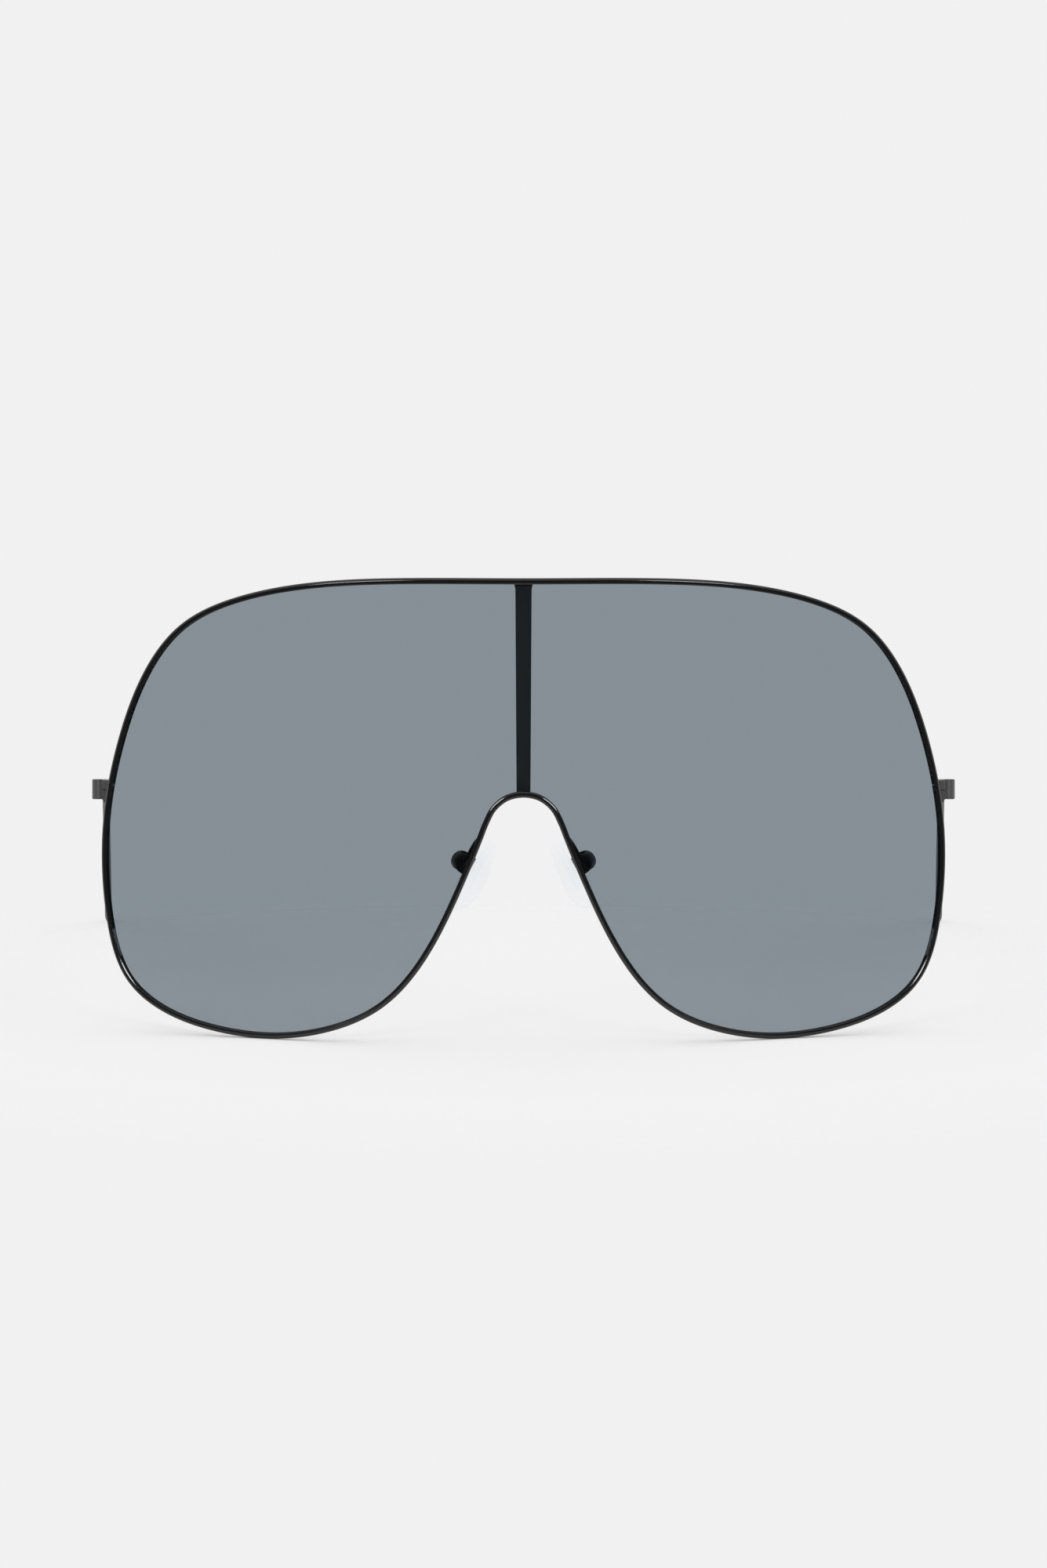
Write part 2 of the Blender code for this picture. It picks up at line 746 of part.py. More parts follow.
def pad_box(name, side, parent):
    """A box with a round back and a slot for the pad's tongue."""
    radius = box_corner_radius
    outline = [(box_upper_end, box_front), (-box_lower_end, box_front)]
    outline += arc((radius - box_lower_end, radius - box_back), radius, 180, 270, 4)
    outline += arc((box_upper_end - radius, radius - box_back), radius, 270, 360, 4)
    shape = prism(outline, -box_width / 2, box_width / 2, axes=(0, 2, 1))
    rounded(shape, box_edge_round, 60)
    thing = mesh_object(name, mirrored(shape, side), lacquer(name), parent)
    half = tongue_thickness / 2 + seat_gap
    upper, lower = box_upper_end + cut_overrun, -box_lower_end - cut_overrun
    front = box_front + cut_overrun
    slot = [(lower, -box_slot_floor), (upper, -box_slot_floor), (upper, front), (lower, front)]
    bore = full_circle((0, 0), pad_screw_radius + fine_clearance)
    cutters = [prism(slot, -half, half, axes=(0, 2, 1)), prism(bore, -box_width, box_width, axes=(0, 2, 1))]
    return cut(thing, [mirrored(shape, side) for shape in cutters])


def pad_screw(name, side, parent):
    """A small screw through the box and the tongue, with its head at the front."""
    seat = box_width / 2 + fine_clearance
    profile = [(pad_head_radius, -seat - pad_head_height), (pad_head_radius, -seat),
               (pad_screw_radius, -seat), (pad_screw_radius, box_width / 2)]
    rings = [[(x, level, z) for x, z in full_circle((0, 0), radius)] for radius, level in profile]
    return mesh_object(name, mirrored(loft(rings), side), dark_steel(name), parent)


def arm_route():
    """The arm's middle line, from the rim's back over to the top of the front wall of the pad's box."""
    box = pad_frame()
    height = box.translation.z + arm_root_rise
    root = rolled(nose_crossing(height) + arm_root_inset, -(rim_depth / 2 + seat_gap), height)
    wall_middle = (box_width / 2 + tongue_thickness / 2 + seat_gap) / 2
    top = box @ Vector((box_upper_end + seat_gap, -wall_middle, (box_front - box_back) / 2))
    down = (box.to_3x3() @ Vector((-1, 0, 0))).normalized()
    reach = top.y - root.y
    first = root + Vector((0, reach, arm_rise)) * arm_first_share
    second = top - down * reach * arm_last_share
    return root, first, second, top


def tube_along(points, radius, sides):
    """A round wire along the points."""
    ways = []
    for i in range(len(points)):
        before, after = points[max(i - 1, 0)], points[min(i + 1, len(points) - 1)]
        ways.append((after - before).normalized())
    rings = []
    across = ways[0].cross(Vector((1, 0, 0))).normalized()
    for point, way in zip(points, ways):
        across = (across - way * across.dot(way)).normalized()
        other = way.cross(across)
        ring = []
        for x, y in full_circle((0, 0), radius, sides):
            ring.append(point + across * x + other * y)
        rings.append(ring)
    return loft(rings)


def pad_arm(name, side, parent):
    a, b, c, d = arm_route()
    points = []
    for step in range(arm_steps + 1):
        t = step / arm_steps
        s = 1 - t
        points.append(a * s**3 + b * 3 * s * s * t + c * 3 * s * t * t + d * t**3)
    mesh_object(name, mirrored(tube_along(points, arm_radius, arm_sides), side), lacquer(name), parent)


def build_side(label, side, root):
    """One side's end piece, rim lock, hinge, temple and nose pad."""
    end_piece(f"{label}_end_piece", side, root)
    lock_block(f"{label}_rim_lock_upper", side, root, 1)
    lock_block(f"{label}_rim_lock_lower", side, root, -1)
    lock_screw(f"{label}_rim_lock_screw", side, root)
    fixed_hinge = empty(f"{label}_hinge_place", for_side(hinge_frame(), side), root)
    leaf(f"{label}_front_leaf", side, fixed_hinge, -1)
    hinge_screw(f"{label}_hinge_screw", side, fixed_hinge)
    moving_hinge = empty(f"{label}_temple_fold", for_side(hinge_frame(), side), root)
    leaf(f"{label}_temple_leaf", side, moving_hinge, 1)
    temple(f"{label}_temple", side, moving_hinge)
    temple_tip(f"{label}_temple_tip", side, moving_hinge)
    fixed_pad = empty(f"{label}_pad_place", for_side(pad_frame(), side), root)
    pad_box(f"{label}_pad_box", side, fixed_pad)
    pad_screw(f"{label}_pad_screw", side, fixed_pad)
    pad_arm(f"{label}_pad_arm", side, root)
    moving_pad = empty(f"{label}_pad_rock", for_side(pad_frame(), side), root)
    nose_pad(f"{label}_nose_pad", side, moving_pad)
    pad_core(f"{label}_pad_core", side, moving_pad)


def stand_centred(root):
    """Moves the whole so that the middle of its base is at the origin."""
    bpy.context.view_layer.update()
    corners = []
    for thing in bpy.data.objects:
        if thing.type == "MESH":
            corners += [thing.matrix_world @ vert.co for vert in thing.data.vertices]
    low = [min(c[k] for c in corners) for k in range(3)]
    high = [max(c[k] for c in corners) for k in range(3)]
    root.location = (-(low[0] + high[0]) / 2, -(low[1] + high[1]) / 2, -low[2])


def main():
    clear_scene()
    root = empty("sunglasses", Matrix.Identity(4))
    rim_pieces(root)
    shield_lens(root)
    centre_bar(root)
    for label, side in (("left", -1), ("right", 1)):
        build_side(label, side, root)
    stand_centred(root)


main()
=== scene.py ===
import json
import math

import bmesh
import bpy
import numpy as np
from mathutils import Matrix, Vector


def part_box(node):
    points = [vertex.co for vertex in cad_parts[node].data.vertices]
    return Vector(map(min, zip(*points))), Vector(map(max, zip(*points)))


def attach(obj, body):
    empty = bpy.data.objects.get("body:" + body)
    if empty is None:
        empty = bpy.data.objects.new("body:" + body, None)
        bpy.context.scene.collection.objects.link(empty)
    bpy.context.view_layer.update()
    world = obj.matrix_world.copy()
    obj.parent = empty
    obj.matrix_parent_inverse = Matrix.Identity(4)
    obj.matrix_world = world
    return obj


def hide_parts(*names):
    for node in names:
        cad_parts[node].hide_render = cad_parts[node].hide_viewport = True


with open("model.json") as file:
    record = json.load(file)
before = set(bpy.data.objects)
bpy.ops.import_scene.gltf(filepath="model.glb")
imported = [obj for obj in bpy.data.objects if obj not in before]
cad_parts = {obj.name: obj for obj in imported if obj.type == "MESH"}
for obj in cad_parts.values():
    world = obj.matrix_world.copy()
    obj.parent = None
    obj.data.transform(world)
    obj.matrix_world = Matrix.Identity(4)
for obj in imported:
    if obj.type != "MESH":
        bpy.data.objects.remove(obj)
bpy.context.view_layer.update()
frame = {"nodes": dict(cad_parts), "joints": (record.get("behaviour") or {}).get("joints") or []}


# The view. The glasses stand upright on a table, seen square from the front and a little from above,
# through a long lens from 1.65 m away. A sight line may pass many clear surfaces, for the nose pads
# have several behind one another.
rim_depth = 0.0012
front_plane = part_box("upper_rim")[0].y + rim_depth / 2
camera_distance = 1.650
camera_elevation = math.radians(6.8)
nearest_seen = 0.01
aim_height = 0.04516
picture_height = 0.2690
sensor_long_side = 36.0
clear_layers = 32

aim = Vector((0, front_plane, aim_height))
towards_camera = Vector((0, -math.cos(camera_elevation), math.sin(camera_elevation)))
camera = bpy.data.objects.new("camera", bpy.data.cameras.new("camera"))
camera.data.sensor_width = sensor_long_side
camera.data.lens = sensor_long_side * camera_distance / picture_height
camera.data.clip_start = nearest_seen
camera.location = aim + towards_camera * camera_distance
camera.rotation_euler = towards_camera.to_track_quat("Z", "Y").to_euler()
bpy.context.scene.collection.objects.link(camera)
bpy.context.scene.camera = camera
bpy.context.scene.view_settings.view_transform = "Standard"
bpy.context.scene.cycles.transparent_max_bounces = clear_layers


# The shader tools that every finish below uses: a material's node tree, and its sockets as numbers
# that can be added and multiplied.
class Socket:
    """An output of a shader node. A sum or product with it adds a Math node."""

    def __init__(self, shader, output):
        self.shader = shader
        self.output = output

    def maths(self, operation, first, second):
        return self.shader.add("ShaderNodeMath", {"operation": operation}, {0: first, 1: second})

    def __add__(self, other):
        return self.maths("ADD", self, other)

    def __radd__(self, other):
        return self.maths("ADD", other, self)

    def __sub__(self, other):
        return self.maths("SUBTRACT", self, other)

    def __rsub__(self, other):
        return self.maths("SUBTRACT", other, self)

    def __mul__(self, other):
        return self.maths("MULTIPLY", self, other)

    def __rmul__(self, other):
        return self.maths("MULTIPLY", other, self)

    def __pow__(self, exponent):
        return self.maths("POWER", self, exponent)

    def __abs__(self):
        return self.maths("ABSOLUTE", self, 0)

    def over(self, low, high):
        """0 below low and 1 above high, with a soft step between."""
        sockets = {"Value": self, "From Min": low, "From Max": high}
        return self.shader.add("ShaderNodeMapRange", {"interpolation_type": "SMOOTHSTEP"}, sockets)


class Shader:
    """The node tree of a material or of the world."""

    def __init__(self, owner, output_kind):
        owner.use_nodes = True
        self.owner = owner
        self.tree = owner.node_tree
        self.tree.nodes.clear()
        self.output = self.tree.nodes.new(output_kind)

    def add(self, kind, settings=None, sockets=None, out=0):
        """Adds a node. Settings are its own properties, sockets are values or links of its inputs."""
        made = self.tree.nodes.new(kind)
        for name, value in (settings or {}).items():
            setattr(made, name, value)
        for name, value in (sockets or {}).items():
            if isinstance(value, Socket):
                self.tree.links.new(value.output, made.inputs[name])
            else:
                made.inputs[name].default_value = value
        return Socket(self, made.outputs[out])

    def place(self):
        return self.add("ShaderNodeTexCoord", out="Object")

    def split(self, vector):
        node = self.add("ShaderNodeSeparateXYZ", {}, {0: vector}).output.node
        return [Socket(self, output) for output in node.outputs]

    def noise(self, vector, scale, detail=2.0):
        return self.add("ShaderNodeTexNoise", {}, {"Vector": vector, "Scale": scale, "Detail": detail}, "Fac")

    def mixed(self, share, first, second):
        """A mix of two colours."""
        return self.add("ShaderNodeMix", {"data_type": "RGBA"}, {0: share, 6: first, 7: second}, 2)

    def bump(self, height, strength, distance):
        sockets = {"Height": height, "Strength": strength, "Distance": distance}
        return self.add("ShaderNodeBump", {}, sockets, "Normal")

    def edge_on(self, power):
        """0 for a surface that faces the eye, rising to 1 where it is seen edge on."""
        return self.add("ShaderNodeLayerWeight", {}, {"Blend": 0.5}, "Facing") ** power

    def surface(self, sockets):
        """A surface with a colour, a gloss and a fine relief of its own."""
        return self.add("ShaderNodeBsdfPrincipled", {}, sockets)

    def see_through(self, color):
        return self.add("ShaderNodeBsdfTransparent", {}, {"Color": color})

    def blend(self, share, first, second):
        """The first surface where the share is 0, and the second where it is 1."""
        return self.add("ShaderNodeMixShader", {}, {0: share, 1: first, 2: second})

    def finish(self, shown):
        """Shows a shader on the material or the world, and gives that back."""
        self.tree.links.new(shown.output, self.output.inputs["Surface"])
        return self.owner


def new_shader(name):
    return Shader(bpy.data.materials.new(name), "ShaderNodeOutputMaterial")


# The studio. A small round white table in a white light tent, which is open and dim on the camera's
# side, with a small slanted strip lamp on either side of the opening. The table fades out towards
# the temple tips, and the camera sees a plain backdrop behind it all.
backdrop_tone = 0.880
tent_light = 0.982
opening_light = 0.10
# The opening's soft edges: how far a ray of length 1 runs forwards there, and how far upwards.
opening_edge = (0.25, 0.50)
opening_top = (0.40, 0.60)
lamp_light = 14.0
lamp_low_end = (math.radians(33.0), math.radians(11.4))
lamp_high_end = (math.radians(19.5), math.radians(20.0))
lamp_half_width = math.radians(5.4)
lamp_blur = math.radians(0.7)
table_middle = -0.045
table_radius = 0.17
table_fade_start = 0.10
table_sides = 160
paper_shade = (0.876, 0.876, 0.876, 1)
paper_light = (0.884, 0.884, 0.884, 1)


def sky_direction(azimuth, elevation):
    """The way to a point of the tent, which is found sideways from the camera and upwards."""
    across, ahead = math.sin(azimuth), -math.cos(azimuth)
    return Vector((across * math.cos(elevation), ahead * math.cos(elevation), math.sin(elevation)))


def along(ray, direction):
    """How far a ray of light runs along a direction, the same on the left as on the right."""
    across, back, up = ray
    return abs(across) * direction.x + back * direction.y + up * direction.z


world = Shader(bpy.data.worlds.new("light_tent"), "ShaderNodeOutputWorld")
ray = world.split(world.add("ShaderNodeTexCoord", out="Generated"))
forwards, upwards = 0 - ray[1], ray[2]
opening = forwards.over(*opening_edge) * (1 - upwards.over(*opening_top))
tent = tent_light - (tent_light - opening_light) * opening
low_end, high_end = sky_direction(*lamp_low_end), sky_direction(*lamp_high_end)
lamp_middle = (low_end + high_end).normalized()
lamp_reach = lamp_middle.angle(high_end)
off_lamp = abs(along(ray, low_end.cross(high_end).normalized()))
strip = 1 - off_lamp.over(math.sin(lamp_half_width), math.sin(lamp_half_width + lamp_blur))
within_ends = along(ray, lamp_middle).over(math.cos(lamp_reach + lamp_blur), math.cos(lamp_reach))
seen = world.add("ShaderNodeLightPath", out="Is Camera Ray")
strength = seen * backdrop_tone + (1 - seen) * (tent + strip * within_ends * lamp_light)
bpy.context.scene.world = world.finish(
    world.add("ShaderNodeBackground", {}, {"Color": (1, 1, 1, 1), "Strength": strength})
)

shape = bmesh.new()
bmesh.ops.create_circle(
    shape, cap_ends=True, segments=table_sides, radius=table_radius,
    matrix=Matrix.Translation((0, table_middle, 0)),
)
table_mesh = bpy.data.meshes.new("table_top")
shape.to_mesh(table_mesh)
shape.free()
paper = new_shader("pale_paper")
grain = paper.noise(paper.place(), scale=900.0, detail=3.0)
side_way, back_way = paper.split(paper.place())[:2]
back_way = back_way - table_middle
from_middle = (side_way * side_way + back_way * back_way) ** 0.5
sockets = {
    "Base Color": paper.mixed(grain, paper_shade, paper_light),
    "Roughness": 0.9,
    "Specular IOR Level": 0.0,
    "Alpha": 1 - from_middle.over(table_fade_start, table_radius),
}
table_mesh.materials.append(paper.finish(paper.surface(sockets)))
table_top = bpy.data.objects.new("table_top", table_mesh)
bpy.context.scene.collection.objects.link(table_top)


# The rim. One thin metal wire, half round outside with a V groove for the lens inside, bent round the
# lens and black lacquered. It opens at both end pieces, so it is an upper and a lower piece.
wrap_radius = 0.140
wrap_middle = front_plane + wrap_radius
rim_face = 0.00105
groove_depth = 0.00045
groove_clearance = 0.00007
rim_outer_round = 0.00050
rim_dome = 0.00013
dome_steps = 8
round_steps = 10
rim_stations = 900
split_gap = 0.0001
split_height = (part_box("upper_rim")[0].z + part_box("lower_rim")[1].z) / 2
merge_distance = 0.000002
ridge_tolerance = groove_depth / 10
# A point of the ridge where it bends by a smaller sine than this adds nothing, and is left out.
least_bend = 0.0005
curve_steps = 24
lacquer_thin = (1.25, 1.20, 1.16)
lacquer_thick = (0.75, 0.78, 0.84)


def unrolled(point):
    """A point of the front as its way round the curve, its depth forwards and its height."""
    back = wrap_middle - point.y
    around = wrap_radius * math.atan2(point.x, back)
    return Vector((around, math.hypot(point.x, back) - wrap_radius, point.z))


def rolled(around, depth, height):
    """The way back, from a point of the flat drawing to the curved front."""
    angle = around / wrap_radius
    reach = wrap_radius + depth
    return Vector((reach * math.sin(angle), wrap_middle - reach * math.cos(angle), height))


def merged_copy(node):
    """A CAD node's mesh with its triangles joined up, as a bmesh."""
    shape = bmesh.new()
    shape.from_mesh(frame["nodes"][node].data)
    bmesh.ops.remove_doubles(shape, verts=shape.verts, dist=merge_distance)
    return shape


def lens_ridge():
    """The V edge of the lens, drawn flat, clockwise from the top: the line that lens and rim share."""
    shape = merged_copy("shield_lens")
    flat = {vert: unrolled(vert.co) for vert in shape.verts}

    def on_ridge(verts):
        return [vert for vert in verts if abs(flat[vert].y) < ridge_tolerance]

    def ways(vert):
        return on_ridge(edge.other_vert(vert) for edge in vert.link_edges)

    start = max(on_ridge(shape.verts), key=lambda vert: flat[vert].z - abs(flat[vert].x))
    line = [start, max(ways(start), key=lambda vert: flat[vert].x)]
    while line[-1] is not start:
        line.append(next(vert for vert in ways(line[-1]) if vert is not line[-2]))
    points = np.array([(flat[vert].x, flat[vert].z) for vert in line[:-1]])
    shape.free()
    before = points - np.roll(points, 1, axis=0)
    after = np.roll(points, -1, axis=0) - points
    bend = np.abs(before[:, 0] * after[:, 1] - before[:, 1] * after[:, 0])
    length = np.linalg.norm(before, axis=1) * np.linalg.norm(after, axis=1)
    return points[bend > length * least_bend]


def smooth_loop(points, count):
    """An even, smooth closed line through the points."""
    before, after = np.roll(points, 1, axis=0), np.roll(points, -1, axis=0)
    near = np.linalg.norm(points - before, axis=1)[:, None]
    far = np.linalg.norm(after - points, axis=1)[:, None]
    slope = ((after - points) * (near / far) + (points - before) * (far / near)) / (near + far)
    lead, trail = slope * far, np.roll(slope, -1, axis=0) * far
    t = np.linspace(0, 1, curve_steps, endpoint=False)[:, None, None]
    curve = (2 * t**3 - 3 * t**2 + 1) * points + (t**3 - 2 * t**2 + t) * lead
    curve = curve + (3 * t**2 - 2 * t**3) * after + (t**3 - t**2) * trail
    fine = curve.transpose(1, 0, 2).reshape(-1, 2)
    fine = np.vstack([fine, fine[:1]])
    length = np.concatenate([[0], np.cumsum(np.linalg.norm(np.diff(fine, axis=0), axis=1))])
    steps = np.linspace(0, length[-1], count, endpoint=False)
    return np.column_stack([np.interp(steps, length, fine[:, k]) for k in range(2)])


def inward(line):
    """The direction from each point of a flat clockwise loop to its inside."""
    ahead = np.roll(line, -1, axis=0) - np.roll(line, 1, axis=0)
    ahead /= np.linalg.norm(ahead, axis=1)[:, None]
    return np.column_stack([ahead[:, 1], -ahead[:, 0]])


def sweep(section, places):
    """Pushes a flat section of points through a row of places. Its ends are closed."""
    shape = bmesh.new()
    face = shape.faces.new([shape.verts.new(places[0] @ Vector((x, 0, z))) for x, z in section])
    for before, after in zip(places, places[1:]):
        made = bmesh.ops.extrude_face_region(shape, geom=[face])["geom"]
        face = next(item for item in made if isinstance(item, bmesh.types.BMFace))
        bmesh.ops.transform(shape, matrix=after @ before.inverted(), verts=face.verts)
    return shape


def piece(node, shape, finish, body, smooth_deg=40):
    """Makes a shape a piece of the object, in place of the CAD node that it stands for."""
    bmesh.ops.recalc_face_normals(shape, faces=shape.faces)
    if shape.calc_volume(signed=True) < 0:
        bmesh.ops.reverse_faces(shape, faces=shape.faces)
    mesh = bpy.data.meshes.new("fine_" + node)
    shape.to_mesh(mesh)
    shape.free()
    mesh.materials.append(finish)
    mesh.shade_smooth()
    mesh.set_sharp_from_angle(angle=math.radians(smooth_deg))
    thing = bpy.data.objects.new("fine_" + node, mesh)
    bpy.context.scene.collection.objects.link(thing)
    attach(thing, body)
    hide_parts(node)
    return thing


def arc(center, radius, start_deg, end_deg, steps):
    """The points of a round stretch, its angles measured from the first direction to the second."""
    angles = [math.radians(start_deg + (end_deg - start_deg) * i / steps) for i in range(steps + 1)]
    return [(center[0] + radius * math.cos(a), center[1] + radius * math.sin(a)) for a in angles]


def rim_section():
    """The wire's section, X towards the lens and Z forwards, from groove to groove round the outside."""
    outer = groove_depth - groove_clearance - rim_face
    inner = outer + rim_face
    crown = outer + rim_outer_round
    front = rim_depth / 2
    dome_radius = ((inner - crown) ** 2 + rim_dome**2) / (2 * rim_dome)
    slope = math.degrees(math.asin((inner - crown) / dome_radius))
    half = [(inner - groove_depth, 0.0), (inner, groove_depth)]
    half += arc((crown, front - dome_radius), dome_radius, 90 - slope, 90, dome_steps)
    half += arc((crown, front - rim_outer_round), rim_outer_round, 90, 180, round_steps)[1:]
    return half + [(x, -z) for x, z in half[:0:-1]]


def rim_place(point, way):
    """Where the wire's section stands: X towards the lens, Z forwards."""
    middle = rolled(point[0], 0, point[1])
    front = (rolled(point[0], rim_depth, point[1]) - middle).normalized()
    step = rim_face / 10
    inner = (rolled(point[0] + way[0] * step, 0, point[1] + way[1] * step) - middle).normalized()
    return Matrix.Translation(middle) @ Matrix((inner, front.cross(inner), front)).transposed().to_4x4()


def black_lacquer(name, tone, roughness, mirror):
    """Thin black lacquer on metal, with a faint orange peel and a slightly uneven tone and gloss."""
    made = new_shader(name)
    place = made.place()
    cloud = made.noise(place, scale=90.0, detail=3.0)
    dust = made.noise(place, scale=9000.0, detail=1.0).over(0.62, 0.75)
    orange_peel = made.noise(place, scale=1400.0)
    thick = (*(tone * share for share in lacquer_thick), 1)
    thin = (*(tone * share for share in lacquer_thin), 1)
    sockets = {
        "Base Color": made.mixed(cloud, thick, thin),
        "Roughness": roughness + cloud * 0.06 + dust * 0.10,
        "Specular IOR Level": mirror,
        "Normal": made.bump(orange_peel, strength=0.20, distance=0.00002),
    }
    return made.finish(made.surface(sockets))


ridge = smooth_loop(lens_ridge(), rim_stations)
ridge_ways = inward(ridge)


def past_split(start, step):
    """The last station above the split and the first one below it, going one way round from the top."""
    last = start
    while ridge[(last + step) % rim_stations][1] > split_height + split_gap:
        last += step
    first = last + step
    while ridge[first % rim_stations][1] > split_height - split_gap:
        first += step
    return last, first


def rim_wire(first, last, stop_height):
    """A stretch of the rim that ends square at the split behind both end pieces."""
    line = [(ridge[i % rim_stations], ridge_ways[i % rim_stations]) for i in range(first, last + 1)]
    stops = []
    for inner, outer in ((first, first - 1), (last, last + 1)):
        near, far = ridge[inner % rim_stations], ridge[outer % rim_stations]
        share = (stop_height - near[1]) / (far[1] - near[1])
        stops.append((near + (far - near) * share, ridge_ways[inner % rim_stations]))
    return sweep(rim_section(), [rim_place(point, way) for point, way in stops[:1] + line + stops[1:]])


rim_lacquer = black_lacquer("rim_lacquer", tone=0.006, roughness=0.06, mirror=0.55)
right_above, right_below = past_split(0, 1)
left_above, left_below = past_split(0, -1)
upper_wire = rim_wire(left_above, right_above, split_height + split_gap / 2)
lower_wire = rim_wire(right_below, left_below + rim_stations, split_height - split_gap / 2)
piece("upper_rim", upper_wire, rim_lacquer, "front", smooth_deg=50)
piece("lower_rim", lower_wire, rim_lacquer, "front", smooth_deg=50)


# The lens. One sheet of clear smoke grey plastic, just under a millimetre thick, curved round the
# face, with an even tint and no mirror coat. Its edge is ground to a V that sits in the rim's groove.
lens_thickness = 0.0009
lens_columns = 96
lens_pass = (0.5257, 0.5667, 0.595, 1)
lens_mirror = 0.0125
clear = (1, 1, 1, 1)
cut_distance = 0.000001


def lens_loop(shape, inset, depth):
    """The lens's outline, drawn flat at a depth and as far inside the ridge as the inset."""
    verts = [shape.verts.new((x, depth, z)) for x, z in ridge + ridge_ways * inset]
    edges = [shape.edges.new((a, b)) for a, b in zip(verts, verts[1:] + verts[:1])]
    return verts, edges


def lens_shape():
    """Made flat, cut into narrow columns and then rolled to the wrap."""
    shape = bmesh.new()
    middle = lens_loop(shape, 0.0, 0.0)[1]
    for depth in (lens_thickness / 2, -lens_thickness / 2):
        verts, edges = lens_loop(shape, groove_depth, depth)
        bmesh.ops.bridge_loops(shape, edges=edges + middle)
        shape.faces.new(verts)
    reach = ridge[:, 0].max()
    for step in range(1, lens_columns):
        across = reach * (2 * step / lens_columns - 1)
        bmesh.ops.bisect_plane(
            shape, geom=shape.verts[:] + shape.edges[:] + shape.faces[:],
            plane_co=(across, 0, 0), plane_no=(1, 0, 0), dist=cut_distance,
        )
    for vert in shape.verts:
        vert.co = rolled(*vert.co)
    return shape


def smoke_tint():
    """Smoke grey, seen through and lightly mirrored, with a trace of ripple in its polish."""
    made = new_shader("smoke_lens")
    place = made.place()
    ripple = made.bump(made.noise(place, scale=45.0), strength=0.10, distance=0.00002)
    haze = made.noise(place, scale=700.0, detail=4.0)
    mirror = made.add("ShaderNodeBsdfGlossy", {}, {"Roughness": 0.015 + haze * 0.02, "Normal": ripple})
    mirrored_share = lens_mirror + made.edge_on(power=5) * (1 - lens_mirror)
    sheet = made.blend(mirrored_share, made.see_through(lens_pass), mirror)
    # The lens dims what is seen through it, and not the light that falls on other things.
    lighting = made.add("ShaderNodeLightPath", out="Is Shadow Ray")
    lighting = lighting + made.add("ShaderNodeLightPath", out="Is Diffuse Ray")
    return made.finish(made.blend(lighting, sheet, made.see_through(clear)))


piece("shield_lens", lens_shape(), smoke_tint(), "front", smooth_deg=30)


# The centre bar. A flat strip of metal behind the lens, in a duller black lacquer, soldered to the
# back of the rim at the top and at the nose arch. It tapers downwards, and its top end widens into a
# foot.
bar_top_width = 0.0028
bar_low_width = 0.0024
bar_foot_height = 0.0005
bar_overlap = 0.0008
bar_round = 0.00015
edge_steps = 3
sharp_angle = math.radians(40)


def soften(shape, radius, steps):
    """Rounds the sharp edges of a shape."""
    bmesh.ops.bevel(
        shape, geom=[edge for edge in shape.edges if edge.calc_face_angle(0) > sharp_angle],
        offset=radius, offset_type="OFFSET", affect="EDGES",
        segments=steps, profile=0.5, material=-1, clamp_overlap=True,
    )


def bar_shape():
    """The strip's outline, seen from the front, pushed through its thickness."""
    low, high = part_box("centre_bar")
    foot = high.z - bar_overlap
    right = [
        (bar_low_width / 2, low.z), (bar_top_width / 2, foot - bar_foot_height),
        (high.x, foot), (high.x, high.z),
    ]
    outline = right + [(-x, z) for x, z in right[::-1]]
    shape = sweep(outline, [Matrix.Translation((0, low.y, 0)), Matrix.Translation((0, high.y, 0))])
    soften(shape, bar_round, edge_steps)
    return shape


satin_lacquer = black_lacquer("satin_lacquer", tone=0.043, roughness=0.32, mirror=0.5)
piece("centre_bar", bar_shape(), satin_lacquer, "front")


# The end pieces, rim locks and hinge leaves, all of black lacquered metal. Flat strips leave the back
# of the rim, turn the corner and carry the hinges. Behind each, a screw draws the two halves of a
# block together, which closes the rim round the lens.
sides = {"left": -1, "right": 1}
fitting_round = 0.00012
flat_angle = math.radians(0.5)
end_piece_lacquer = black_lacquer("end_piece_lacquer", tone=0.056, roughness=0.36, mirror=0.5)
fitting_lacquer = black_lacquer("fitting_lacquer", tone=0.004, roughness=0.30, mirror=0.10)


def whole_copy(node):
    """A CAD node's mesh with the triangles of each flat face made one face."""
    shape = merged_copy(node)
    bmesh.ops.dissolve_limit(
        shape, angle_limit=flat_angle, use_dissolve_boundaries=False,
        verts=shape.verts, edges=shape.edges,
    )
    return shape


def finer(node, finish, body, width, crease_deg=30):
    """A CAD piece with its creases softened."""
    thing = piece(node, whole_copy(node), finish, body, crease_deg)
    bevel = thing.modifiers.new("soft_edges", "BEVEL")
    bevel.width = width
    bevel.segments = edge_steps
    bevel.limit_method = "ANGLE"
    bevel.angle_limit = math.radians(crease_deg)
    bevel.use_clamp_overlap = True
    bevel.harden_normals = True


for side in sides:
    for part in ("end_piece", "rim_lock_upper", "rim_lock_lower"):
        finer(f"{side}_{part}", end_piece_lacquer, "front", fitting_round)
    for part, body in (("front_leaf", "front"), ("temple_leaf", f"{side}_temple_arm")):
        finer(f"{side}_{part}", fitting_lacquer, body, fitting_round)


# The screws. Small blackened steel screws with a slot: one up through each rim lock, one down through
# each hinge as its pin, and one through each nose pad's box.
screw_steps = 40
screw_seat = 0.00005
slot_share = 0.22
slot_depth_share = 0.55
hinge_height = 0.0027
hinge_pin_radius = 0.00055
hinge_head_radius = 0.00085
hinge_head_height = 0.0003
lock_screw_radius = 0.00045
lock_head_radius = 0.00065
lock_head_height = 0.0003
pad_box_width = 0.0030
pad_screw_radius = 0.0004
pad_head_radius = 0.0007
pad_head_height = 0.0004
joints = {joint["name"]: joint for joint in frame["joints"]}


